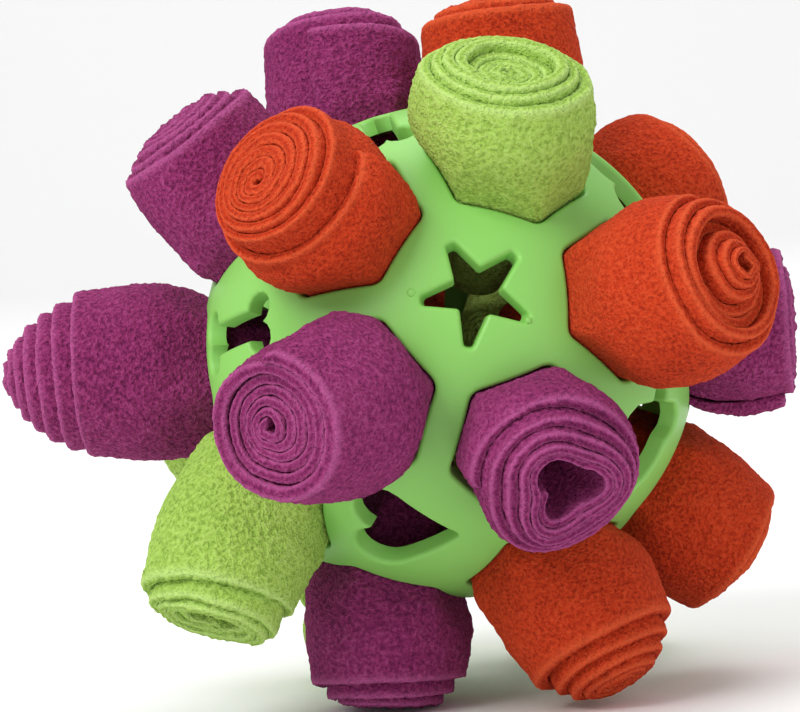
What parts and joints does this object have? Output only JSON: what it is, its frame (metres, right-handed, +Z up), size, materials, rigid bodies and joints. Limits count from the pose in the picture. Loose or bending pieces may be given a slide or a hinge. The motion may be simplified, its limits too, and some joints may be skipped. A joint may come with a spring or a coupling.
{
  "type": "dog snuffle ball",
  "caption": "Hollow rubber ball with figured cut-outs and a rolled strip of fleece pushed through each hexagon hole, for hiding treats in.",
  "frame": {"origin": "on the surface the toy stands on, below the middle of its bounding box", "axes": "+Z up; -Y toward the front, where the star cut-out is; +X to the right seen from the front"},
  "size_m": [0.1485, 0.1394, 0.1302],
  "materials": {
    "rubber": "satin yellowish green moulded rubber",
    "fleece_orange": "matt pebbled fleece pile",
    "fleece_purple": "matt pebbled fleece pile",
    "fleece_lime": "matt pebbled fleece pile"
  },
  "bodies": {
    "root": {"ball": "rubber", "roll_orange_upper_left": "fleece_orange", "roll_lime_top": "fleece_lime", "roll_orange_right": "fleece_orange", "roll_purple_lower_right": "fleece_purple", "roll_purple_lower_left": "fleece_purple", "roll_lime_bottom_left": "fleece_lime", "roll_purple_foot_left": "fleece_purple", "roll_orange_foot_right": "fleece_orange", "roll_orange_bottom_right": "fleece_orange", "roll_purple_side_right": "fleece_purple", "roll_orange_back_upper_right": "fleece_orange", "roll_orange_back_top": "fleece_orange", "roll_purple_back_top": "fleece_purple", "roll_purple_upper_left": "fleece_purple", "roll_purple_side_left": "fleece_purple", "roll_orange_back_upper_left": "fleece_orange", "roll_lime_back_right": "fleece_lime", "roll_lime_back_foot_right": "fleece_lime", "roll_lime_back_foot_left": "fleece_lime", "roll_lime_back_left": "fleece_lime"}
  },
  "joints": []
}
